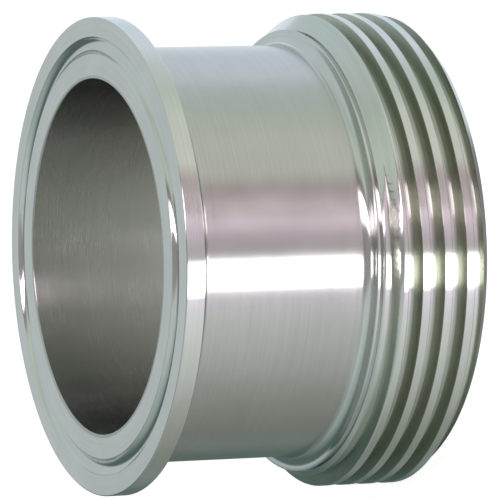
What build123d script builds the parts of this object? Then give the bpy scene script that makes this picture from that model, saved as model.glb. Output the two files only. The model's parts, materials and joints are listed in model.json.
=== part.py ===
from build123d import *
from math import atan2, ceil, cos, degrees, radians, sin, tan
import os

# Sanitary clamp adapter with a male union thread, turned in one piece from stainless bar.
# It stands on its threaded end: the axis is +Z, the clamp face is uppermost.
# All lengths are in millimetres and all angles in degrees.

# Whole adapter, each radius of which is reached from the bore through the walls around it
overall_length = 43.5
bore_diameter = 47.5
neck_wall = 4.05
edge_break = 0.15
widest_band = 20.0

# Clamp flange, a rim with a tapered back for the two-piece clamp
flange_reach = 4.2
rim_length = 2.65
back_taper = 20.0
flange_fillet = 1.0

# Round-bottomed gasket groove in the clamp face, with its middle set in from the rim
gasket_groove_inset = 3.8
gasket_groove_width = 2.3
gasket_groove_depth = 0.85

# Union thread, trapezoidal, eight turns to the inch, with a wall between bore and root
thread_wall = 6.41
thread_pitch = 3.175
thread_depth = 1.84
thread_crest = 1.18
flank_angle = 14.5
thread_length = 15.2
end_chamfer = 1.9
runout_position = 14.36
runout_turn = 47.0

# Thin collar behind the thread, parted from it by a narrow relief groove
collar_reach = 2.5
collar_width = 0.2
neck_fillet = 1.15
relief_width = 0.8
relief_depth = 0.8

# Recess for the joint ring in the threaded end
seat_step = 3.25
seat_depth = 3.0

# Radii and heights that follow from the sizes above
bore_radius = bore_diameter / 2
seat_radius = bore_radius + seat_step
neck_radius = bore_radius + neck_wall
flange_radius = neck_radius + flange_reach
collar_radius = neck_radius + collar_reach
root_radius = bore_radius + thread_wall
thread_radius = root_radius + thread_depth
back_slope = radians(back_taper)
rim_bottom = overall_length - rim_length
back_foot = rim_bottom - (flange_radius - neck_radius) * tan(back_slope)
collar_top = thread_length + relief_width + collar_width

# Centres of the fillets at both ends of the neck
flange_fillet_center = (
    neck_radius + flange_fillet,
    back_foot + flange_fillet * tan(back_slope) - flange_fillet / cos(back_slope),
)
neck_fillet_center = (neck_radius + neck_fillet, collar_top + neck_fillet)

# Gasket groove, an arc that dips below the face by its depth
groove_half_width = gasket_groove_width / 2
groove_radius = (groove_half_width**2 + gasket_groove_depth**2) / (2 * gasket_groove_depth)
groove_center = (flange_radius - gasket_groove_inset, overall_length - gasket_groove_depth + groove_radius)
groove_half_angle = degrees(atan2(groove_half_width, groove_radius - gasket_groove_depth))

# The thread tool leaves this width of space at the crest, the root and just outside the crest
space_at_crest = thread_pitch - thread_crest
space_at_root = space_at_crest - 2 * thread_depth * tan(radians(flank_angle))
space_outside = space_at_crest + 2 * edge_break * tan(radians(flank_angle))

# Whole turns carry the tool from below the free end up to its run-out
full_turns = ceil((runout_position + space_at_crest / 2) / thread_pitch)

# On the run-out the tool no longer advances and leaves the root on an eccentric arc
runout_offset = thread_depth / (1 - cos(radians(runout_turn)))


def round_stretch(center, radius, start_angle, arc_size):
    """Points along a round stretch of an outline, which make equal bands no wider than widest_band."""
    bands = ceil(abs(arc_size) / widest_band)
    angles = [radians(start_angle + band * arc_size / bands) for band in range(bands + 1)]
    return [(center[0] + radius * cos(angle), center[1] + radius * sin(angle)) for angle in angles]


def thread_space(height):
    """Section of the space between two thread crests, centred at this height in the XZ plane."""
    with BuildSketch(Plane.XZ) as section:
        with BuildLine():
            Polyline(
                (root_radius, height - space_at_root / 2),
                (thread_radius + edge_break, height - space_outside / 2),
                (thread_radius + edge_break, height + space_outside / 2),
                (root_radius, height + space_at_root / 2),
                close=True,
            )
        make_face()
    return section.sketch


with BuildPart() as adapter_body:
    # Turned outside, from the collar up over neck and flange, and from the free end up over the thread
    with BuildSketch(Plane.XZ) as turned_outline:
        with BuildLine():
            Polyline(
                (0, 0),
                (thread_radius - end_chamfer, 0),
                (thread_radius, end_chamfer),
                (thread_radius, thread_length - (thread_radius - collar_radius)),
                (collar_radius, thread_length),
                (collar_radius, collar_top),
                *round_stretch(neck_fillet_center, neck_fillet, start_angle=270, arc_size=-90),
                *round_stretch(flange_fillet_center, flange_fillet, start_angle=180, arc_size=back_taper - 90),
                (flange_radius, rim_bottom),
                (flange_radius, overall_length),
                (0, overall_length),
                close=True,
            )
        make_face()
    revolve(axis=Axis.Z)

    # Broken edges of the clamp rim
    rim_edges = adapter_body.edges().filter_by(GeomType.CIRCLE).filter_by(
        lambda edge: abs(edge.radius - flange_radius) < edge_break / 2
        and edge.arc_center.Z > collar_top
    )
    chamfer(rim_edges, length=edge_break)

    # Relief groove between collar and thread
    with BuildSketch(Plane.XZ) as relief_section:
        with Locations((collar_radius, thread_length + relief_width / 2)):
            Rectangle(2 * relief_depth, relief_width)
    revolve(axis=Axis.Z, mode=Mode.SUBTRACT)

    # Thread space, cut at full depth turn by turn
    for turn in range(full_turns):
        turn_start = runout_position - (turn + 1) * thread_pitch
        with BuildLine() as one_turn:
            Helix(
                pitch=thread_pitch,
                height=thread_pitch,
                radius=root_radius,
                center=(0, 0, turn_start),
            )
        sweep(thread_space(turn_start), path=one_turn.line, is_frenet=True, mode=Mode.SUBTRACT)

    # Run-out, where the tool draws away from the work
    revolve(
        thread_space(runout_position),
        axis=Axis((-runout_offset, 0, 0), (0, 0, 1)),
        revolution_arc=runout_turn,
        mode=Mode.SUBTRACT,
    )

    # Gasket groove in the clamp face
    with BuildSketch(Plane.XZ) as gasket_section:
        with BuildLine():
            Polyline(
                *round_stretch(groove_center, groove_radius, 270 - groove_half_angle, 2 * groove_half_angle),
                (groove_center[0] + groove_half_width, overall_length + gasket_groove_depth),
                (groove_center[0] - groove_half_width, overall_length + gasket_groove_depth),
                close=True,
            )
        make_face()
    revolve(axis=Axis.Z, mode=Mode.SUBTRACT)

    # Straight bore, with the joint ring's recess at the threaded end
    with Locations(Plane.XY.offset(overall_length)):
        Hole(radius=bore_radius, depth=overall_length)
    with BuildSketch(Plane.XY) as seat_section:
        Circle(seat_radius)
    extrude(amount=seat_depth, mode=Mode.SUBTRACT)

    # Broken edge at the bore's mouth in the clamp face
    mouth = adapter_body.faces().sort_by(Axis.Z)[-1].edges().filter_by(GeomType.CIRCLE).sort_by(SortBy.RADIUS)[0]
    chamfer(mouth, length=edge_break)

adapter_body.part.label = "adapter_body"

os.makedirs("parts", exist_ok=True)
export_step(adapter_body.part, "parts/adapter_body.step")
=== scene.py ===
"""Visual model of a sanitary clamp adapter with a union thread, standing on its threaded end."""

import json
import logging
import math
from dataclasses import dataclass
from enum import Enum

import bmesh
import bpy
from mathutils import Matrix, Vector

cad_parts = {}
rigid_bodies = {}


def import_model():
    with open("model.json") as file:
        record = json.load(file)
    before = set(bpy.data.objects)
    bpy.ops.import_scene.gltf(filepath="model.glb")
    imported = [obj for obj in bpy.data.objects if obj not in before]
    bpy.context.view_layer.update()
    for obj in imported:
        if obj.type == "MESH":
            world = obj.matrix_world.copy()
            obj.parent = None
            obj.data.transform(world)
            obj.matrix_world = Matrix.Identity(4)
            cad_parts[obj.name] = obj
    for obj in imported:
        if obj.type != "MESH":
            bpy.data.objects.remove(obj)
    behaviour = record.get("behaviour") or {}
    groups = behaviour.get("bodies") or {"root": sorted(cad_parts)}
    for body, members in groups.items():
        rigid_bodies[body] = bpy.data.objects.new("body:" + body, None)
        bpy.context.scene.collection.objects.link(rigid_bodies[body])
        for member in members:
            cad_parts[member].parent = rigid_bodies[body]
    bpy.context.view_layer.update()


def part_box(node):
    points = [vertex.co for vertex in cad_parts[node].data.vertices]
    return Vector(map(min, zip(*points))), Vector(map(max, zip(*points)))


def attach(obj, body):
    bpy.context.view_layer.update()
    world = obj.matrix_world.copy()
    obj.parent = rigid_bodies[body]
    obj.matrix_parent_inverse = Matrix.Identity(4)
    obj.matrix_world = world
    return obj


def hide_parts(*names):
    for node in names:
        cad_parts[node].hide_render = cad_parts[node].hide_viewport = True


log = logging.getLogger("adapter")

MM = 0.001
FULL_TURN = 2 * math.pi
NODE = "adapter_body"
BODY = "root"

Colour = tuple[float, float, float]
Socket = bpy.types.NodeSocket


class Rays(Enum):
    """Kinds of ray that a stage piece can answer, by the object's own property."""

    CAMERA = "visible_camera"
    DIFFUSE = "visible_diffuse"
    GLOSSY = "visible_glossy"
    TRANSMISSION = "visible_transmission"
    VOLUME = "visible_volume_scatter"
    SHADOW = "visible_shadow"


def answer_only(obj: bpy.types.Object, *kinds: Rays) -> None:
    """Lets an object answer some kinds of ray and no others.

    Args:
        obj: The object to set.
        kinds: The rays that still see it.
    """
    for kind in Rays:
        setattr(obj, kind.value, kind in kinds)


def link_mesh(bm: bmesh.types.BMesh, name: str) -> bpy.types.Object:
    """Turns a bmesh into an object of the scene and frees the bmesh.

    Args:
        bm: The finished bmesh.
        name: Name of the object and its mesh.

    Returns:
        The new object, at the origin.
    """
    mesh = bpy.data.meshes.new(name)
    bm.to_mesh(mesh)
    bm.free()
    obj = bpy.data.objects.new(name, mesh)
    bpy.context.scene.collection.objects.link(obj)
    return obj


class NodeGraph:
    """Short way to add and wire shader nodes of one node tree."""

    # Places of both colours and of their mix among the sockets of Blender's mix node
    FIRST_COLOUR = 6
    SECOND_COLOUR = 7
    MIXED_COLOUR = 2

    def __init__(self, tree: bpy.types.NodeTree) -> None:
        """Empties the tree.

        Args:
            tree: Node tree of a material or world.
        """
        self.tree = tree
        self.tree.nodes.clear()

    def add(self, kind: str, sockets: dict[str | int, object] | None = None, **settings: object) -> bpy.types.Node:
        """Adds one node.

        Args:
            kind: Blender's name for the node.
            sockets: Inputs by name or number, each a value or the output socket that feeds it.
            settings: Properties of the node.

        Returns:
            The node.
        """
        node = self.tree.nodes.new(kind)
        for key, value in settings.items():
            setattr(node, key, value)
        for key, value in (sockets or {}).items():
            if isinstance(value, Socket):
                self.tree.links.new(value, node.inputs[key])
            else:
                node.inputs[key].default_value = value
        return node

    def math(self, operation: str, *values: object) -> Socket:
        """Adds a math node.

        Args:
            operation: Blender's name for the operation.
            values: Its inputs, in order.

        Returns:
            The result's socket.
        """
        return self.add("ShaderNodeMath", dict(enumerate(values)), operation=operation).outputs[0]

    def vector(self, operation: str, *values: object, result: str = "Vector") -> Socket:
        """Adds a vector math node.

        Args:
            operation: Blender's name for the operation.
            values: Its inputs, in order.
            result: Name of the output that is wanted, Vector or Value.

        Returns:
            The result's socket.
        """
        return self.add("ShaderNodeVectorMath", dict(enumerate(values)), operation=operation).outputs[result]

    def ramp(self, value: Socket, source: tuple[float, float], target: tuple[float, float]) -> Socket:
        """Maps a value from one range to another, held at both ends.

        Args:
            value: The value to map.
            source: Range that it is read from.
            target: Range that it is mapped to.

        Returns:
            The mapped value's socket.
        """
        names = ("From Min", "From Max", "To Min", "To Max")
        sockets = {"Value": value, **dict(zip(names, (*source, *target)))}
        return self.add("ShaderNodeMapRange", sockets, clamp=True).outputs["Result"]

    def mix(self, factor: Socket, first: Colour | Socket, second: Colour | Socket) -> Socket:
        """Mixes two colours.

        Args:
            factor: Share of the second colour.
            first: First colour or the socket that gives it.
            second: Second colour or the socket that gives it.

        Returns:
            The mixed colour's socket.
        """
        first, second = (
            colour if isinstance(colour, Socket) else (*colour, 1.0) for colour in (first, second)
        )
        sockets = {"Factor": factor, self.FIRST_COLOUR: first, self.SECOND_COLOUR: second}
        return self.add("ShaderNodeMix", sockets, data_type="RGBA").outputs[self.MIXED_COLOUR]

    def noise(
        self, place: Socket, scale: float, detail: float, roughness: float, distortion: float = 0.0
    ) -> Socket:
        """Adds a noise texture.

        Args:
            place: Point that the noise is read at.
            scale: Grains per unit of the place.
            detail: Octaves of the noise.
            roughness: Share that each octave keeps of the one before.
            distortion: How far the noise is swirled.

        Returns:
            The noise's factor, about 0.5 on average.
        """
        sockets = {
            "Vector": place,
            "Scale": scale,
            "Detail": detail,
            "Roughness": roughness,
            "Distortion": distortion,
        }
        return self.add("ShaderNodeTexNoise", sockets).outputs["Fac"]

    def bump(self, height: Socket, distance: float, normal: Socket | None = None) -> Socket:
        """Adds a bump node.

        Args:
            height: Height of the surface's relief, from 0 to 1.
            distance: Depth of the relief in metres.
            normal: Normal that is bent, or None for the surface's own.

        Returns:
            The bent normal's socket.
        """
        sockets = {"Strength": 1.0, "Distance": distance, "Height": height}
        if normal is not None:
            sockets["Normal"] = normal
        return self.add("ShaderNodeBump", sockets).outputs["Normal"]

    def split(self, vector: Socket) -> bpy.types.bpy_prop_collection:
        """Splits a vector into its coordinates.

        Args:
            vector: The vector.

        Returns:
            Sockets X, Y and Z.
        """
        return self.add("ShaderNodeSeparateXYZ", {"Vector": vector}).outputs


@dataclass(frozen=True)
class SteelFields:
    """Values over the steel's surface that its colour, roughness and relief are made from."""

    satin: Socket
    bore_finish_and_shade: Socket
    flank_finish_and_shade: Socket
    edge: Socket
    lines: Socket
    scratches: Socket
    blotches: Socket
    smudges: Socket


@dataclass(frozen=True)
class TurnedSteel:
    """Stainless steel as a lathe leaves it, with fine lines round the axis.

    The lines follow the part's own radius and height, so each face shows them as rings.
    The neck has a colour of its own; the bore and the thread's flanks are painted darker, as painted shade for the
    inside of the bore and between the thread crests, the flanks partly also for the threading tool's duller cut.
    All three are rougher than the rest.
    """

    colour: Colour = (0.69, 0.70, 0.68)
    satin: Colour = (0.57, 0.57, 0.555)
    # Bore colour: painted shade, darker for the shade inside the bore
    bore_finish_and_shade: Colour = (0.53, 0.53, 0.505)
    # Flank colour: partly the threading tool's duller cut, partly painted shade between the thread crests
    flank_finish_and_shade: Colour = (0.52, 0.54, 0.47)

    # Where the three zones lie
    satin_radius: float = 27.9 * MM
    satin_reach: float = 0.4 * MM
    satin_heights: tuple[float, float] = (16.5 * MM, 40.0 * MM)
    bored_radius: float = 24.2 * MM
    flank_radius: float = 31.08 * MM
    flank_half_depth: float = 0.88 * MM
    thread_top: float = 14.7 * MM
    flank_tilt: float = 0.85

    # Brightness, which follows the lines, the blotches and the smudges by these shares
    dull_share: float = 0.90
    line_share: float = 0.4
    blotch_share: float = 0.25
    smudge_share: float = 0.35
    shade_range: tuple[float, float] = (0.40, 0.60)

    # Roughness, and what each zone adds to it
    roughness: float = 0.14
    roughness_swing: float = 0.04
    swing_range: tuple[float, float] = (0.3, 0.7)
    satin_roughness: float = 0.07
    bored_roughness: float = 0.12
    flank_roughness: float = 0.08
    anisotropy: float = 0.85
    anisotropy_turn: float = 0.25

    # Sizes of the marks, with the depth of those that have one
    line_pitch: float = 0.24 * MM
    line_depth: float = 0.0016 * MM
    scratch_pitch: float = 0.075 * MM
    scratch_depth: float = 0.0005 * MM
    blotch_size: float = 9.0 * MM
    smudge_size: float = 16.0 * MM
    height_share: float = 1.7
    rings_per_turn: float = 1.2

    # Turned edges, which are rubbed bright
    edge_width: float = 0.12 * MM
    edge_agreement: tuple[float, float] = (0.995, 0.90)
    edge_polish: float = 0.10

    def _lathe_noise(
        self, graph: NodeGraph, axes: tuple[Socket, Socket, Socket], pitch: float, detail: float
    ) -> Socket:
        """Adds noise that is drawn out into rings round the axis.

        Args:
            graph: Node graph of the material.
            axes: Two coordinates round the axis, and the distance across the rings.
            pitch: Distance between two rings in metres.
            detail: Octaves of the noise.

        Returns:
            The noise's factor, about 0.5 on average.
        """
        round_x, round_y, lathe = axes
        across = graph.math("DIVIDE", lathe, pitch)
        place = graph.add("ShaderNodeCombineXYZ", {"X": round_x, "Y": round_y, "Z": across}).outputs[0]
        return graph.noise(place, scale=1.0, detail=detail, roughness=0.6)

    def _satin_mask(self, graph: NodeGraph, radius: Socket, height: Socket) -> Socket:
        """Marks the neck, which is duller than the rest.

        Args:
            graph: Node graph of the material.
            radius: Distance from the axis.
            height: Height above the threaded end.

        Returns:
            The mask's socket.
        """
        low, high = self.satin_heights
        return graph.math(
            "MULTIPLY",
            graph.math("COMPARE", radius, self.satin_radius, self.satin_reach),
            graph.math("COMPARE", height, (low + high) / 2, (high - low) / 2),
        )

    def _flank_finish_and_shade_mask(self, graph: NodeGraph, radius: Socket, height: Socket, normal: Socket) -> Socket:
        """Marks the flanks of the thread, which are rougher and painted darker: partly the threading tool's duller
        cut, partly painted shade for the dark between the crests.

        Args:
            graph: Node graph of the material.
            radius: Distance from the axis.
            height: Height above the threaded end.
            normal: The surface's normal.

        Returns:
            The mask's socket.
        """
        tilt = graph.math("ABSOLUTE", graph.split(normal)["Z"])
        steep = graph.math("GREATER_THAN", tilt, self.flank_tilt)
        threaded = graph.math("LESS_THAN", height, self.thread_top)
        between = graph.math("COMPARE", radius, self.flank_radius, self.flank_half_depth)
        return graph.math("MULTIPLY", steep, graph.math("MULTIPLY", threaded, between))

    def _fields(self, graph: NodeGraph) -> SteelFields:
        """Adds the values over the surface that the material is made from.

        Args:
            graph: Node graph of the material.

        Returns:
            Their sockets.
        """
        place = graph.add("ShaderNodeTexCoord").outputs["Object"]
        parts = graph.split(place)
        flat = graph.add("ShaderNodeCombineXYZ", {"X": parts["X"], "Y": parts["Y"]}).outputs[0]
        radius = graph.vector("LENGTH", flat, result="Value")
        outward = graph.split(graph.vector("NORMALIZE", flat))
        axes = (
            graph.math("MULTIPLY", outward["X"], self.rings_per_turn),
            graph.math("MULTIPLY", outward["Y"], self.rings_per_turn),
            graph.math("MULTIPLY_ADD", parts["Z"], self.height_share, radius),
        )
        normal = graph.add("ShaderNodeNewGeometry").outputs["Normal"]
        rounded = graph.add("ShaderNodeBevel", {"Radius": self.edge_width}, samples=4).outputs["Normal"]
        agreement = graph.vector("DOT_PRODUCT", rounded, normal, result="Value")
        return SteelFields(
            satin=self._satin_mask(graph, radius, parts["Z"]),
            bore_finish_and_shade=graph.math("LESS_THAN", radius, self.bored_radius),
            flank_finish_and_shade=self._flank_finish_and_shade_mask(graph, radius, parts["Z"], normal),
            edge=graph.ramp(agreement, self.edge_agreement, (0.0, 1.0)),
            lines=self._lathe_noise(graph, axes, self.line_pitch, detail=3.0),
            scratches=self._lathe_noise(graph, axes, self.scratch_pitch, detail=2.0),
            blotches=graph.noise(place, scale=1.0 / self.blotch_size, detail=2.0, roughness=0.5),
            smudges=graph.noise(place, scale=1.0 / self.smudge_size, detail=4.0, roughness=0.6, distortion=1.2),
        )

    def _colour(self, graph: NodeGraph, fields: SteelFields) -> Socket:
        """Adds the colour, which is each zone's own and darker where the marks are; the darker bore and flanks are
        painted shade.

        Args:
            graph: Node graph of the material.
            fields: Values over the surface.

        Returns:
            The colour's socket.
        """
        base = graph.mix(fields.satin, self.colour, self.satin)
        # Painted shade: the bore and the thread's flanks are mixed to darker colours for the shade inside them
        base = graph.mix(fields.bore_finish_and_shade, base, self.bore_finish_and_shade)
        base = graph.mix(fields.flank_finish_and_shade, base, self.flank_finish_and_shade)
        shade = graph.math("MULTIPLY", fields.smudges, self.smudge_share)
        shade = graph.math("MULTIPLY_ADD", fields.blotches, self.blotch_share, shade)
        shade = graph.math("MULTIPLY_ADD", fields.lines, self.line_share, shade)
        level = graph.ramp(shade, self.shade_range, (self.dull_share, 1.0))
        scaled = graph.add("ShaderNodeVectorMath", {0: base, "Scale": level}, operation="SCALE")
        return scaled.outputs["Vector"]

    def _roughness(self, graph: NodeGraph, fields: SteelFields) -> Socket:
        """Adds the roughness, which is each zone's own and less at the turned edges.

        Args:
            graph: Node graph of the material.
            fields: Values over the surface.

        Returns:
            The roughness's socket.
        """
        average = graph.math("MULTIPLY", graph.math("ADD", fields.scratches, fields.blotches), 0.5)
        reach = (self.roughness - self.roughness_swing, self.roughness + self.roughness_swing)
        rough = graph.ramp(average, self.swing_range, reach)
        zones = (
            (fields.satin, self.satin_roughness),
            (fields.flank_finish_and_shade, self.flank_roughness),
            (fields.bore_finish_and_shade, self.bored_roughness),
        )
        for zone, added in zones:
            rough = graph.math("MULTIPLY_ADD", zone, added, rough)
        return graph.math("SUBTRACT", rough, graph.math("MULTIPLY", fields.edge, self.edge_polish))

    def build(self, name: str) -> bpy.types.Material:
        """Builds the material.

        Args:
            name: Name of the material.

        Returns:
            The material.
        """
        material = bpy.data.materials.new(name)
        material.use_nodes = True
        graph = NodeGraph(material.node_tree)
        fields = self._fields(graph)
        scratched = graph.bump(fields.scratches, self.scratch_depth)
        steel = graph.add(
            "ShaderNodeBsdfPrincipled",
            {
                "Base Color": self._colour(graph, fields),
                "Metallic": 1.0,
                "Roughness": self._roughness(graph, fields),
                "Anisotropic": self.anisotropy,
                "Anisotropic Rotation": self.anisotropy_turn,
                "Tangent": graph.add("ShaderNodeTangent", direction_type="RADIAL", axis="Z").outputs[0],
                "Normal": graph.bump(fields.lines, self.line_depth, scratched),
            },
        )
        graph.add("ShaderNodeOutputMaterial", {"Surface": steel.outputs[0]})
        return material


@dataclass(frozen=True)
class AdapterSizes:
    """Sizes of the adapter in metres. Radii are from its axis and heights from its threaded end."""

    height: float
    flange_radius: float
    bore_radius: float = 23.75 * MM
    neck_radius: float = 27.8 * MM
    edge_break: float = 0.15 * MM
    edge_round: float = 0.06 * MM

    # Clamp flange and its gasket groove
    rim_length: float = 2.65 * MM
    back_taper: float = math.radians(20)
    flange_fillet: float = 1.0 * MM
    groove_radius: float = 28.2 * MM
    groove_half_width: float = 1.15 * MM
    groove_depth: float = 0.85 * MM

    # Union thread and its run-out
    thread_radius: float = 32.0 * MM
    thread_pitch: float = 3.175 * MM
    thread_depth: float = 1.84 * MM
    thread_crest: float = 1.18 * MM
    crest_break: float = 0.08 * MM
    flank_angle: float = math.radians(14.5)
    end_chamfer: float = 1.9 * MM
    runout_height: float = 14.36 * MM
    runout_delay: float = math.radians(8)
    runout_turn: float = math.radians(44)
    runout_advance: float = 0.5

    # Collar behind the thread, with the relief groove and the cone that leads to the thread
    collar_radius: float = 29.9 * MM
    collar_top: float = 15.65 * MM
    neck_fillet: float = 1.5 * MM
    relief_top: float = 15.5 * MM
    relief_bottom: float = 14.85 * MM
    relief_radius: float = 29.4 * MM
    shoulder_height: float = 12.8 * MM

    # Recess in the threaded end
    seat_radius: float = 27.0 * MM
    seat_depth: float = 3.0 * MM

    @classmethod
    def from_frame(cls) -> "AdapterSizes":
        """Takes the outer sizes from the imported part.

        Returns:
            The sizes.
        """
        low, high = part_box(NODE)
        return cls(height=high.z - low.z, flange_radius=(high.x - low.x) / 2)


class HalfSection:
    """Half of a turned part's section, drawn in the XZ plane as one chain of edges."""

    def __init__(self, bm: bmesh.types.BMesh, radius: float, height: float) -> None:
        """Starts the chain.

        Args:
            bm: The bmesh that gets the chain.
            radius: First point's distance from the axis.
            height: First point's height.
        """
        self.bm = bm
        self.first = bmesh.ops.create_vert(bm, co=(radius, 0, height))["vert"][0]
        self.last = self.first
        self.corners: dict[float, list[bmesh.types.BMVert]] = {}

    def _round_later(self, vert: bmesh.types.BMVert, rounding: float) -> None:
        """Args:
            vert: The corner.
            rounding: Length that the rounding takes from each side, or 0 for a sharp corner.
        """
        if rounding > 0:
            self.corners.setdefault(rounding, []).append(vert)

    def line(self, radius: float, height: float, rounding: float = 0.0) -> "HalfSection":
        """Draws a straight side.

        Args:
            radius: End's distance from the axis.
            height: End's height.
            rounding: Length that the end's rounding takes from each side.

        Returns:
            This section, for the next side.
        """
        made = bmesh.ops.extrude_vert_indiv(self.bm, verts=[self.last])
        self.last = made["verts"][0]
        self.last.co = (radius, 0, height)
        self._round_later(self.last, rounding)
        return self

    def arc(self, radius: float, height: float, angle: float, steps: int, rounding: float = 0.0) -> "HalfSection":
        """Draws a round side from the last point.

        Args:
            radius: Centre's distance from the axis.
            height: Centre's height.
            angle: Angle of the arc, positive from +Z towards +X.
            steps: Number of edges.
            rounding: Length that the end's rounding takes from each side.

        Returns:
            This section, for the next side.
        """
        made = bmesh.ops.spin(
            self.bm,
            geom=[self.last],
            cent=(radius, 0, height),
            axis=(0, 1, 0),
            angle=angle,
            steps=steps,
            use_duplicate=False,
        )
        self.last = next(item for item in made["geom_last"] if isinstance(item, bmesh.types.BMVert))
        self._round_later(self.last, rounding)
        return self

    def finish(self, segments: int) -> None:
        """Closes the chain and rounds its corners.

        Args:
            segments: Edges of each rounded corner.
        """
        bmesh.ops.contextual_create(self.bm, geom=[self.last, self.first])
        for rounding, verts in self.corners.items():
            bmesh.ops.bevel(
                self.bm,
                geom=verts,
                offset=rounding,
                offset_type="OFFSET",
                affect="VERTICES",
                segments=segments,
                profile=0.5,
                material=-1,
            )


class AdapterBody:
    """The adapter, turned from one piece of bar, with its union thread."""

    ROUND_STEPS = 360
    THREAD_STEPS = 180
    GROOVE_STEPS = 14
    FLANGE_FILLET_STEPS = 8
    NECK_FILLET_STEPS = 10
    EDGE_STEPS = 3
    SHARP_ANGLE = math.radians(38)
    WELD = 0.0005 * MM

    def __init__(self, sizes: AdapterSizes) -> None:
        """Keeps the sizes.

        Args:
            sizes: Sizes of the adapter.
        """
        self.sizes = sizes

    def _turned_blank(self) -> bpy.types.Object:
        """Turns the body without its thread.

        Returns:
            The blank, a closed solid.
        """
        s = self.sizes
        slope = math.tan(s.back_taper)
        back_foot = s.height - s.rim_length - (s.flange_radius - s.neck_radius) * slope
        fillet_height = back_foot + s.flange_fillet * slope - s.flange_fillet / math.cos(s.back_taper)
        groove_arc = (s.groove_half_width**2 + s.groove_depth**2) / (2 * s.groove_depth)
        groove_half_angle = math.asin(s.groove_half_width / groove_arc)
        bm = bmesh.new()
        section = HalfSection(bm, s.bore_radius, s.seat_depth)
        section.line(s.bore_radius, s.height, s.edge_break)
        section.line(s.groove_radius - s.groove_half_width, s.height, s.edge_round)
        section.arc(
            s.groove_radius,
            s.height - s.groove_depth + groove_arc,
            -2 * groove_half_angle,
            self.GROOVE_STEPS,
            s.edge_round,
        )
        section.line(s.flange_radius, s.height, s.edge_break)
        section.line(s.flange_radius, s.height - s.rim_length, s.edge_break)
        section.line(
            s.neck_radius + s.flange_fillet * (1 - math.sin(s.back_taper)),
            fillet_height + s.flange_fillet * math.cos(s.back_taper),
        )
        section.arc(
            s.neck_radius + s.flange_fillet,
            fillet_height,
            s.back_taper - math.pi / 2,
            self.FLANGE_FILLET_STEPS,
        )
        section.line(s.neck_radius, s.collar_top + s.neck_fillet)
        section.arc(
            s.neck_radius + s.neck_fillet,
            s.collar_top + s.neck_fillet,
            -math.pi / 2,
            self.NECK_FILLET_STEPS,
        )
        section.line(s.collar_radius, s.collar_top, s.edge_round)
        section.line(s.collar_radius, s.relief_top, s.edge_round)
        section.line(s.relief_radius, s.relief_top)
        section.line(s.relief_radius, s.relief_bottom)
        section.line(s.collar_radius, s.relief_bottom, s.edge_round)
        section.line(s.thread_radius, s.shoulder_height, s.edge_round)
        section.line(s.thread_radius, s.end_chamfer, s.edge_round)
        section.line(s.thread_radius - s.end_chamfer, 0, s.edge_round)
        section.line(s.seat_radius, 0, s.edge_round)
        section.line(s.seat_radius, s.seat_depth)
        section.finish(segments=self.EDGE_STEPS)
        bmesh.ops.spin(
            bm,
            geom=[*bm.verts, *bm.edges],
            cent=(0, 0, 0),
            axis=(0, 0, 1),
            angle=FULL_TURN,
            steps=self.ROUND_STEPS,
            use_merge=True,
            use_duplicate=False,
        )
        bmesh.ops.recalc_face_normals(bm, faces=bm.faces)
        return link_mesh(bm, "adapter_turned")

    def _thread_tool(self) -> bpy.types.Object:
        """Sweeps the space between two thread crests along the thread and its run-out.

        Returns:
            The swept solid, which the blank is cut with.
        """
        s = self.sizes
        slope = math.tan(s.flank_angle)
        at_crest = (s.thread_pitch - s.thread_crest) / 2
        at_root = at_crest - s.thread_depth * slope
        under_break = at_crest - s.crest_break * slope
        root = s.thread_radius - s.thread_depth
        turns = math.ceil((s.runout_height + at_crest) / s.thread_pitch)
        start = s.runout_height - turns * s.thread_pitch
        half = (
            (root, at_root),
            (s.thread_radius - s.crest_break, under_break),
            (s.thread_radius + s.crest_break, under_break + 2 * s.crest_break),
        )
        outline = [(r, start - w) for r, w in half] + [(r, start + w) for r, w in reversed(half)]
        bm = bmesh.new()
        verts = [bmesh.ops.create_vert(bm, co=(r, 0, z))["vert"][0] for r, z in outline]
        section = bmesh.ops.contextual_create(bm, geom=verts)["faces"]
        advance = s.thread_pitch / self.THREAD_STEPS
        late_steps = round(self.THREAD_STEPS * s.runout_delay / FULL_TURN)
        swept = bmesh.ops.spin(
            bm,
            geom=section,
            cent=(0, 0, 0),
            axis=(0, 0, 1),
            dvec=(0, 0, advance),
            angle=turns * FULL_TURN + s.runout_delay,
            steps=turns * self.THREAD_STEPS + late_steps,
            use_duplicate=False,
        )
        joint = [item for item in swept["geom_last"] if isinstance(item, bmesh.types.BMFace)]
        offset = (s.thread_depth + s.crest_break) / math.sin(s.runout_turn)
        bmesh.ops.spin(
            bm,
            geom=joint,
            cent=(-offset * math.sin(s.runout_delay), offset * math.cos(s.runout_delay), 0),
            axis=(0, 0, 1),
            dvec=(0, 0, advance * s.runout_advance),
            angle=s.runout_turn,
            steps=round(self.THREAD_STEPS * s.runout_turn / FULL_TURN),
            use_duplicate=False,
        )
        bmesh.ops.delete(bm, geom=joint, context="FACES_ONLY")
        holes = [edge for edge in bm.edges if edge.is_boundary]
        if holes:
            bmesh.ops.holes_fill(bm, edges=holes)
        bmesh.ops.recalc_face_normals(bm, faces=bm.faces)
        return link_mesh(bm, "thread_tool")

    def _shade(self, mesh: bpy.types.Mesh) -> None:
        """Smooths the round faces and keeps the true edges sharp.

        Args:
            mesh: The mesh to shade.
        """
        bm = bmesh.new()
        bm.from_mesh(mesh)
        bmesh.ops.remove_doubles(bm, verts=bm.verts, dist=self.WELD)
        bmesh.ops.recalc_face_normals(bm, faces=bm.faces)
        for face in bm.faces:
            face.smooth = True
        for edge in bm.edges:
            edge.smooth = edge.calc_face_angle(0) < self.SHARP_ANGLE
        bm.to_mesh(mesh)
        bm.free()

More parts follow.
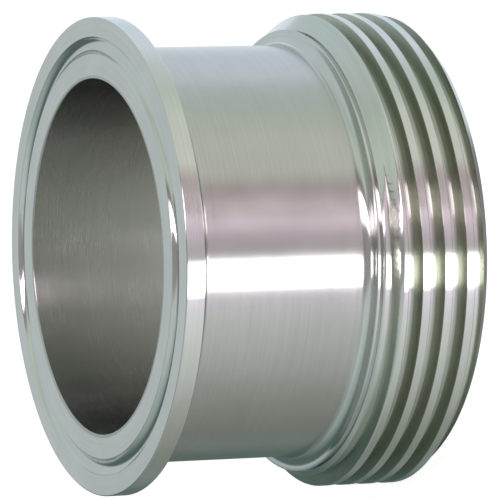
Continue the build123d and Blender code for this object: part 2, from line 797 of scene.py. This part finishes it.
    def build(self, finish: bpy.types.Material) -> bpy.types.Object:
        """Builds the body and puts it in the CAD node's place.

        Args:
            finish: Material of the whole body.

        Returns:
            The body's object.
        """
        blank = self._turned_blank()
        tool = self._thread_tool()
        cut = blank.modifiers.new("thread", "BOOLEAN")
        cut.operation = "DIFFERENCE"
        cut.solver = "EXACT"
        cut.object = tool
        evaluated = blank.evaluated_get(bpy.context.evaluated_depsgraph_get())
        mesh = bpy.data.meshes.new_from_object(evaluated)
        mesh.name = "adapter_dressed"
        bpy.data.objects.remove(blank)
        bpy.data.objects.remove(tool)
        self._shade(mesh)
        mesh.materials.clear()
        mesh.materials.append(finish)
        body = bpy.data.objects.new("adapter_dressed", mesh)
        bpy.context.scene.collection.objects.link(body)
        weighted = body.modifiers.new("face_weighted_normals", "WEIGHTED_NORMAL")
        weighted.keep_sharp = True
        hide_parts(NODE)
        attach(body, BODY)
        log.info("body: %d vertices, %d faces", len(mesh.vertices), len(mesh.polygons))
        return body


@dataclass(frozen=True)
class LightBand:
    """A ring of light round the object that only shows in reflections.

    Each stop is an angle round the object's axis in degrees, from +X towards -Y, with the colour there.
    The colours blend between the stops, from -180 to 180. Heights are in metres.
    """

    name: str
    low: float
    high: float
    stops: tuple[tuple[float, Colour], ...]
    radius: float = 0.45
    peak: float = 6.0
    steps: int = 90

    def build(self) -> bpy.types.Object:
        """Builds the band, which only glossy rays see.

        Returns:
            The band's object.
        """
        bm = bmesh.new()
        foot = bmesh.ops.create_vert(bm, co=(self.radius, 0, self.low))["vert"][0]
        raised = bmesh.ops.extrude_vert_indiv(bm, verts=[foot])
        raised["verts"][0].co.z = self.high
        bmesh.ops.spin(
            bm,
            geom=[*bm.verts, *bm.edges],
            cent=(0, 0, 0),
            axis=(0, 0, 1),
            angle=FULL_TURN,
            steps=self.steps,
            use_merge=True,
            use_duplicate=False,
        )
        band = link_mesh(bm, self.name)
        material = bpy.data.materials.new(self.name)
        material.use_nodes = True
        graph = NodeGraph(material.node_tree)
        parts = graph.split(graph.add("ShaderNodeTexCoord").outputs["Object"])
        angle = graph.math("ARCTAN2", graph.math("MULTIPLY", parts["Y"], -1.0), parts["X"])
        ramp = graph.add("ShaderNodeValToRGB", {"Fac": graph.ramp(angle, (-math.pi, math.pi), (0.0, 1.0))})
        elements = ramp.color_ramp.elements
        for degrees, _ in self.stops[1:-1]:
            elements.new(degrees / 360 + 0.5)
        for element, (_, colour) in zip(elements, self.stops):
            element.color = (*[part / self.peak for part in colour], 1.0)
        light = graph.add("ShaderNodeEmission", {"Color": ramp.outputs["Color"], "Strength": self.peak})
        graph.add("ShaderNodeOutputMaterial", {"Surface": light.outputs[0]})
        band.data.materials.append(material)
        answer_only(band, Rays.GLOSSY)
        return band


@dataclass(frozen=True)
class BoreSheet:
    """A sheet of light under the open threaded end that only the bore's reflections show.

    It is bright in the middle and darker outwards. Lengths are in metres.
    """

    height: float = -0.4 * MM
    radius: float = 26.9 * MM
    middle: Colour = (1.30, 1.36, 1.30)
    rim: Colour = (0.22, 0.22, 0.19)
    bright_radius: float = 9.0 * MM
    dark_radius: float = 24.0 * MM
    segments: int = 96

    def build(self) -> bpy.types.Object:
        """Builds the sheet, which only glossy rays see.

        Returns:
            The sheet's object.
        """
        bm = bmesh.new()
        bmesh.ops.create_circle(bm, cap_ends=True, segments=self.segments, radius=self.radius)
        bmesh.ops.translate(bm, verts=bm.verts, vec=(0, 0, self.height))
        sheet = link_mesh(bm, "bore_sheet")
        material = bpy.data.materials.new("bore_sheet")
        material.use_nodes = True
        graph = NodeGraph(material.node_tree)
        place = graph.add("ShaderNodeTexCoord").outputs["Object"]
        from_axis = graph.vector("DISTANCE", place, (0, 0, self.height), result="Value")
        outward = graph.ramp(from_axis, (self.bright_radius, self.dark_radius), (0.0, 1.0))
        light = graph.add("ShaderNodeEmission", {"Color": graph.mix(outward, self.middle, self.rim)})
        graph.add("ShaderNodeOutputMaterial", {"Surface": light.outputs[0]})
        sheet.data.materials.append(material)
        answer_only(sheet, Rays.GLOSSY)
        return sheet


@dataclass(frozen=True)
class SoftLamp:
    """A rectangular studio lamp aimed at the middle of the object, which no reflection shows.

    Azimuth is measured from +X towards -Y and elevation above the horizon, in degrees.
    """

    name: str
    azimuth: float
    elevation: float
    distance: float
    width: float
    height: float
    radiance: float

    def build(self, target: Vector) -> bpy.types.Object:
        """Builds the lamp.

        Args:
            target: The point that it faces.

        Returns:
            The lamp's object.
        """
        data = bpy.data.lights.new(self.name, "AREA")
        data.shape = "RECTANGLE"
        data.size = self.width
        data.size_y = self.height
        data.energy = self.radiance * math.pi * self.width * self.height
        lamp = bpy.data.objects.new(self.name, data)
        bpy.context.scene.collection.objects.link(lamp)
        azimuth, elevation = -math.radians(self.azimuth), math.radians(self.elevation)
        away = Vector(
            (math.cos(azimuth) * math.cos(elevation), math.sin(azimuth) * math.cos(elevation), math.sin(elevation))
        )
        lamp.location = target + away * self.distance
        lamp.rotation_euler = away.to_track_quat("Z", "Y").to_euler()
        lamp.visible_camera = False
        lamp.visible_glossy = False
        return lamp


@dataclass(frozen=True)
class PhotoCamera:
    """The photograph's camera, from where the clamp face and the axis lie in its frame."""

    focal_pixels: float = 5724.0
    frame_pixels: float = 500.0
    face_pixel: tuple[float, float] = (95.89, 256.72)
    distance: float = 0.764
    tilt: float = math.radians(67.10)
    roll: float = math.radians(-1.81)
    sensor: float = 36.0
    clip: tuple[float, float] = (0.01, 100.0)

    def build(self, face_centre: Vector) -> bpy.types.Object:
        """Builds the camera and makes it the scene's.

        Args:
            face_centre: Centre of the clamp face.

        Returns:
            The camera's object.
        """
        turn = Matrix.Rotation(self.roll, 3, "Z")
        axis = turn @ Vector((math.sin(self.tilt), 0, math.cos(self.tilt)))
        near_side = turn @ Vector((math.cos(self.tilt), 0, -math.sin(self.tilt)))
        low_side = turn @ Vector((0, 1, 0))
        right, down, away = (Vector((near_side[i], -low_side[i], -axis[i])) for i in range(3))
        middle = self.frame_pixels / 2
        across, below = ((pixel - middle) / self.focal_pixels * self.distance for pixel in self.face_pixel)
        data = bpy.data.cameras.new("photo_camera")
        data.sensor_width = self.sensor
        data.lens = self.focal_pixels / self.frame_pixels * self.sensor
        data.clip_start, data.clip_end = self.clip
        camera = bpy.data.objects.new("photo_camera", data)
        bpy.context.scene.collection.objects.link(camera)
        place = Matrix((right, -down, -away)).transposed().to_4x4()
        place.translation = face_centre - (right * across + down * below + away * self.distance)
        camera.matrix_world = place
        bpy.context.scene.camera = camera
        return camera


class Studio:
    """Pale floor, soft lamps and the bands of light that the steel reflects."""

    FLOOR_SIZE = 4.0
    FLOOR_ALBEDO = 0.8
    FLOOR_GLOW = 0.72
    WORLD_LEVEL = 0.28

    BANDS = (
        LightBand(
            "deep_band",
            -0.60,
            -0.30,
            (
                (-180, (0.14, 0.19, 0.17)),
                (-172, (0.14, 0.19, 0.17)),
                (-164, (0.80, 0.90, 0.98)),
                (-98, (0.68, 0.76, 0.75)),
                (-64, (0.74, 0.79, 0.68)),
                (-36, (0.66, 0.68, 0.58)),
                (-30, (0.50, 0.44, 0.42)),
                (-28, (3.2, 2.8, 3.0)),
                (-14, (3.2, 2.8, 3.0)),
                (-12, (0.50, 0.46, 0.44)),
                (4, (0.50, 0.46, 0.44)),
                (5, (14.0, 14.0, 14.0)),
                (20, (14.0, 14.0, 14.0)),
                (22, (1.10, 1.06, 1.10)),
                (40, (0.78, 0.82, 0.78)),
                (72, (0.48, 0.50, 0.46)),
                (112, (0.26, 0.29, 0.25)),
                (150, (0.13, 0.18, 0.16)),
                (180, (0.13, 0.18, 0.16)),
            ),
            peak=14.0,
        ),
        LightBand(
            "lower_band",
            -0.30,
            0.0,
            (
                (-180, (0.14, 0.19, 0.17)),
                (-175, (0.14, 0.19, 0.17)),
                (-168, (0.86, 0.96, 1.02)),
                (-140, (0.76, 0.86, 0.96)),
                (-114, (0.84, 0.92, 1.00)),
                (-98, (0.68, 0.76, 0.75)),
                (-84, (0.66, 0.74, 0.68)),
                (-64, (0.78, 0.82, 0.73)),
                (-42, (0.80, 0.81, 0.74)),
                (-34, (0.58, 0.50, 0.50)),
                (-20, (0.54, 0.46, 0.49)),
                (-16, (0.86, 0.73, 0.82)),
                (-11, (0.86, 0.72, 0.81)),
                (-2, (0.64, 0.58, 0.61)),
                (4, (0.62, 0.57, 0.60)),
                (5, (5.0, 5.0, 5.0)),
                (19, (5.0, 5.0, 5.0)),
                (20, (0.60, 0.52, 0.58)),
                (21, (0.60, 0.52, 0.58)),
                (22, (1.20, 1.10, 1.25)),
                (25, (1.00, 0.96, 1.04)),
                (40, (0.78, 0.82, 0.78)),
                (56, (0.66, 0.70, 0.67)),
                (72, (0.53, 0.55, 0.52)),
                (90, (0.38, 0.40, 0.36)),
                (112, (0.28, 0.31, 0.27)),
                (130, (0.27, 0.31, 0.29)),
                (150, (0.13, 0.18, 0.16)),
                (180, (0.13, 0.18, 0.16)),
            ),
        ),
        LightBand(
            "upper_band",
            0.0,
            1.60,
            (
                (-180, (0.60, 0.66, 0.67)),
                (-130, (0.60, 0.70, 0.72)),
                (-110, (0.60, 0.69, 0.66)),
                (-88, (0.54, 0.62, 0.55)),
                (-60, (0.64, 0.71, 0.64)),
                (-46, (0.62, 0.66, 0.60)),
                (-38, (0.28, 0.26, 0.26)),
                (-30, (0.28, 0.26, 0.26)),
                (-28, (4.8, 4.2, 4.6)),
                (-15, (4.8, 4.2, 4.6)),
                (-13, (0.34, 0.31, 0.32)),
                (20, (0.40, 0.40, 0.40)),
                (30, (0.66, 0.70, 0.70)),
                (40, (0.66, 0.71, 0.70)),
                (64, (0.60, 0.68, 0.66)),
                (88, (0.44, 0.52, 0.50)),
                (112, (0.38, 0.45, 0.43)),
                (132, (0.20, 0.26, 0.24)),
                (145, (0.11, 0.16, 0.15)),
                (166, (0.11, 0.16, 0.15)),
                (172, (0.60, 0.66, 0.67)),
                (180, (0.60, 0.66, 0.67)),
            ),
        ),
    )
    LAMPS = (
        SoftLamp("key_lamp", azimuth=14, elevation=30, distance=0.9, width=0.35, height=0.35, radiance=3.0),
        SoftLamp("top_lamp", azimuth=-90, elevation=75, distance=1.1, width=0.9, height=0.9, radiance=0.8),
    )

    def __init__(self, target: Vector) -> None:
        """Keeps the point that the lamps face.

        Args:
            target: The object's middle.
        """
        self.target = target

    def _build_floor(self) -> bpy.types.Object:
        """Builds the floor, which the camera sees as near white with the object's soft shadow.

        Returns:
            The floor's object.
        """
        bm = bmesh.new()
        bmesh.ops.create_grid(bm, x_segments=1, y_segments=1, size=self.FLOOR_SIZE / 2)
        floor = link_mesh(bm, "floor")
        material = bpy.data.materials.new("floor_white")
        material.use_nodes = True
        graph = NodeGraph(material.node_tree)
        seen = graph.add("ShaderNodeLightPath").outputs["Is Camera Ray"]
        matte = graph.add("ShaderNodeBsdfDiffuse", {"Color": (*[self.FLOOR_ALBEDO] * 3, 1.0)})
        glow = graph.add(
            "ShaderNodeEmission",
            {"Color": (1.0, 1.0, 1.0, 1.0), "Strength": graph.math("MULTIPLY", seen, self.FLOOR_GLOW)},
        )
        both = graph.add("ShaderNodeAddShader", {0: matte.outputs[0], 1: glow.outputs[0]})
        graph.add("ShaderNodeOutputMaterial", {"Surface": both.outputs[0]})
        floor.data.materials.append(material)
        floor.visible_glossy = False
        return floor

    def _build_world(self) -> None:
        """Builds an even world, white to the camera and plain to everything else."""
        world = bpy.data.worlds.new("studio_world")
        bpy.context.scene.world = world
        world.use_nodes = True
        graph = NodeGraph(world.node_tree)
        seen = graph.add("ShaderNodeLightPath").outputs["Is Camera Ray"]
        level = graph.ramp(seen, (0.0, 1.0), (self.WORLD_LEVEL, 1.0))
        sky = graph.add("ShaderNodeBackground", {"Color": (1.0, 1.0, 1.0, 1.0), "Strength": level})
        graph.add("ShaderNodeOutputWorld", {"Surface": sky.outputs[0]})

    def build(self) -> None:
        """Builds the whole studio."""
        self._build_floor()
        self._build_world()
        for band in self.BANDS:
            band.build()
        BoreSheet().build()
        for lamp in self.LAMPS:
            lamp.build(self.target)


def main() -> None:
    """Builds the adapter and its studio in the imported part's frame."""
    logging.basicConfig(level=logging.INFO, format="%(name)s %(message)s")
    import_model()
    sizes = AdapterSizes.from_frame()
    AdapterBody(sizes).build(TurnedSteel().build("turned_stainless"))
    PhotoCamera().build(Vector((0, 0, sizes.height)))
    Studio(Vector((0, 0, sizes.height / 2))).build()
    bpy.context.scene.view_settings.view_transform = "Standard"


if __name__ == "__main__":
    main()
